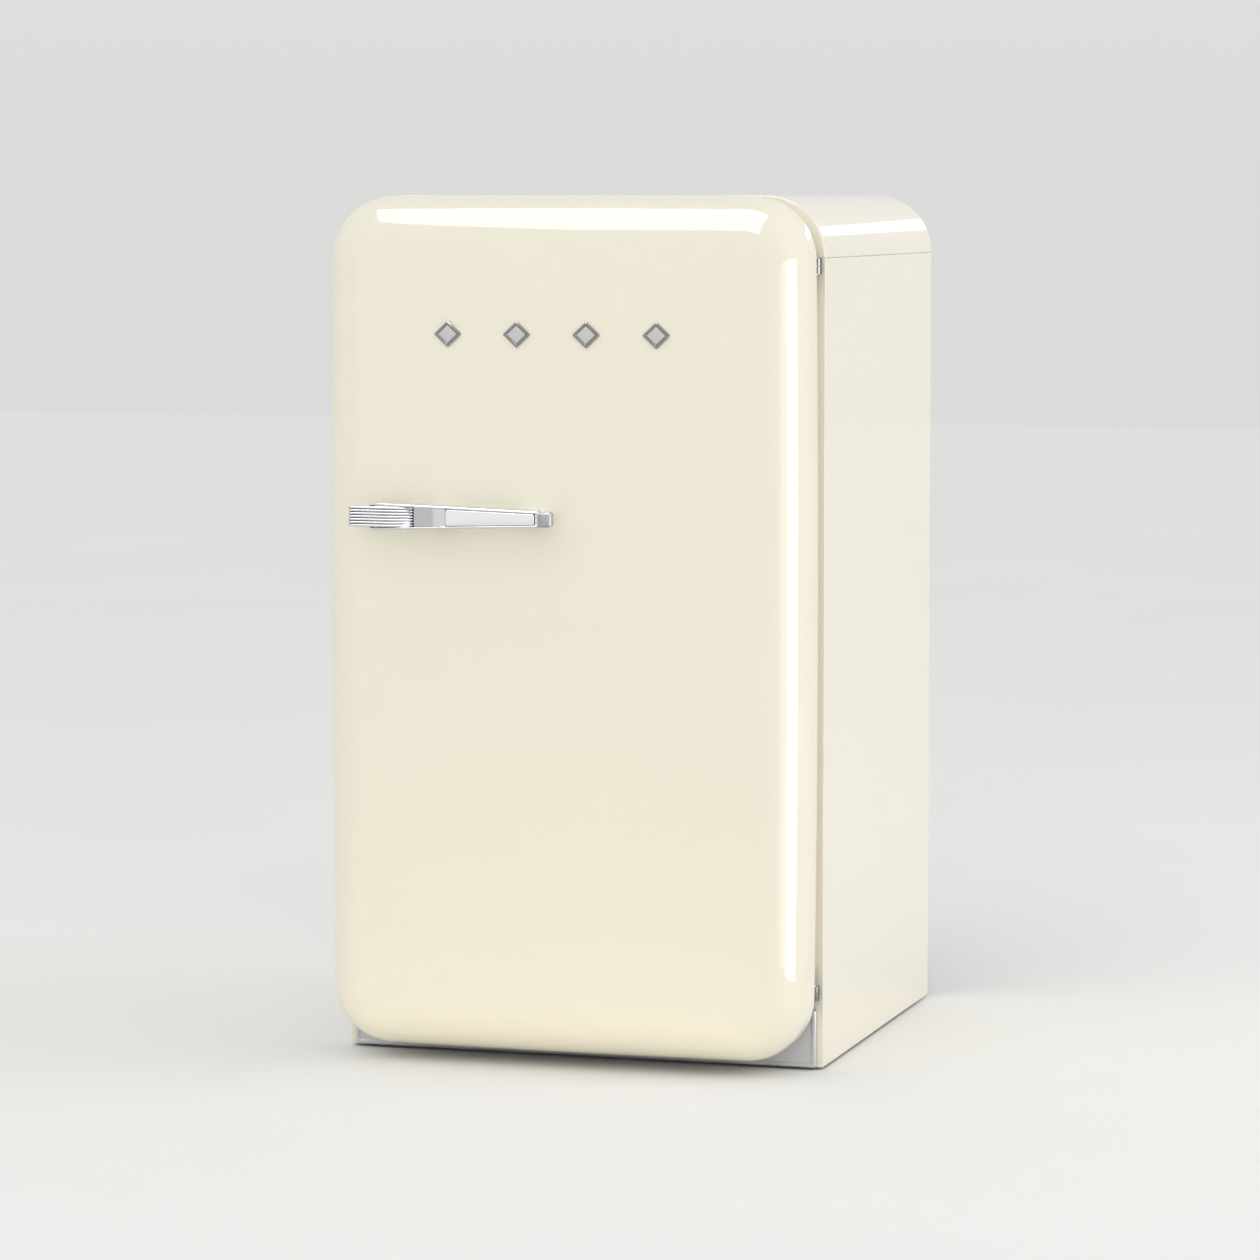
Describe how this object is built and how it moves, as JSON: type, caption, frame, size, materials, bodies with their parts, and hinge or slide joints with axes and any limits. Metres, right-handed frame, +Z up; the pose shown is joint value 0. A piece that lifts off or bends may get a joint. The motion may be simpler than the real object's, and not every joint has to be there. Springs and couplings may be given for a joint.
{
  "type": "compact refrigerator",
  "caption": "Retro compact refrigerator: bowed enamel door on a right-hand hinge, chrome pull handle, ice box with flap, glass shelves, crisper drawer, compressor and rear condenser.",
  "frame": {"origin": "centre of the footprint, on the floor", "axes": "+Z up, -Y out of the door, +X towards the door's hinge side"},
  "size_m": [0.543, 0.67, 0.948],
  "materials": {
    "cream_enamel": "glossy cream enamel on steel sheet",
    "silver_paint": "satin silver grey",
    "chrome": "polished chrome plate",
    "brushed_steel": "fine brushed steel",
    "zinc_steel": "galvanised sheet with a faint spangle",
    "aluminium": "satin anodised aluminium",
    "white_plastic": "semi-gloss white moulding",
    "clear_plastic": "clear moulded polystyrene",
    "shelf_glass": "toughened glass with a green edge",
    "white_rubber": "soft white magnetic seal",
    "black_paint": "satin black paint",
    "black_plastic": "fine-grained black plastic",
    "foam": "rigid insulating foam, hidden inside"
  },
  "bodies": {
    "cabinet": {"side_panel_left": "cream_enamel", "side_panel_right": "cream_enamel", "top_cover": "cream_enamel", "front_bottom_rail": "cream_enamel", "plinth": "silver_paint", "upper_hinge_bracket": "brushed_steel", "lower_hinge_bracket": "brushed_steel", "upper_hinge_pin": "brushed_steel", "lower_hinge_pin": "brushed_steel", "ice_flap_pin": "brushed_steel", "back_panel": "zinc_steel", "base_tray": "zinc_steel", "compressor_rail": "zinc_steel", "ice_box": "aluminium", "inner_liner": "white_plastic", "crisper_cover_trim": "white_plastic", "lower_shelf_trim": "white_plastic", "upper_shelf_trim": "white_plastic", "control_housing": "white_plastic", "drain_tube": "white_plastic", "lamp_lens": "clear_plastic", "crisper_cover_glass": "shelf_glass", "lower_shelf_glass": "shelf_glass", "upper_shelf_glass": "shelf_glass", "compressor": "black_paint", "condenser": "black_paint", "rear_foot_left": "black_plastic", "rear_foot_right": "black_plastic", "compressor_relay_box": "black_plastic", "evaporation_pan": "black_plastic", "power_cord_gland": "black_plastic", "wall_spacer_left": "black_plastic", "wall_spacer_right": "black_plastic", "cabinet_foam": "foam"},
    "door": {"door_outer_shell": "cream_enamel", "door_foam": "foam", "door_liner": "white_plastic", "door_gasket": "white_rubber", "bottle_bin": "clear_plastic", "middle_bin": "clear_plastic", "upper_bin": "clear_plastic", "bottle_rail": "chrome", "upper_door_leaf": "brushed_steel", "lower_door_leaf": "brushed_steel", "handle_housing": "chrome", "handle_grip": "chrome", "handle_panel": "chrome", "handle_end_cap": "brushed_steel", "handle_post_left": "chrome", "handle_post_right": "chrome", "emblem_1": "chrome", "emblem_2": "chrome", "emblem_3": "chrome", "emblem_4": "chrome"},
    "ice_flap": {"ice_flap": "clear_plastic"},
    "thermostat_knob": {"thermostat_knob": "white_plastic"},
    "crisper_drawer": {"crisper_drawer": "clear_plastic"},
    "levelling_foot_left": {"levelling_foot_left": "black_plastic"},
    "levelling_foot_right": {"levelling_foot_right": "black_plastic"}
  },
  "joints": [
    {"name": "door_hinge", "type": "hinge", "parent": "cabinet", "child": "door", "pos_m": [0.264, -0.201, 0.48], "axis": [0, 0, 1], "range_deg": [0, 105]},
    {"name": "ice_flap_hinge", "type": "hinge", "parent": "cabinet", "child": "ice_flap", "pos_m": [0, -0.049, 0.884], "axis": [-1, 0, 0], "range_deg": [0, 90]},
    {"name": "thermostat_turn", "type": "hinge", "parent": "cabinet", "child": "thermostat_knob", "pos_m": [0.185, -0.02, 0.715], "axis": [-1, 0, 0], "range_deg": [0, 270]},
    {"name": "crisper_slide", "type": "slide", "parent": "cabinet", "child": "crisper_drawer", "axis": [0, -1, 0], "range_m": [0, 0.03]},
    {"name": "levelling_foot_left_screw", "type": "slide", "parent": "cabinet", "child": "levelling_foot_left", "axis": [0, 0, -1], "range_m": [0, 0.01]},
    {"name": "levelling_foot_right_screw", "type": "slide", "parent": "cabinet", "child": "levelling_foot_right", "axis": [0, 0, -1], "range_m": [0, 0.01]}
  ]
}
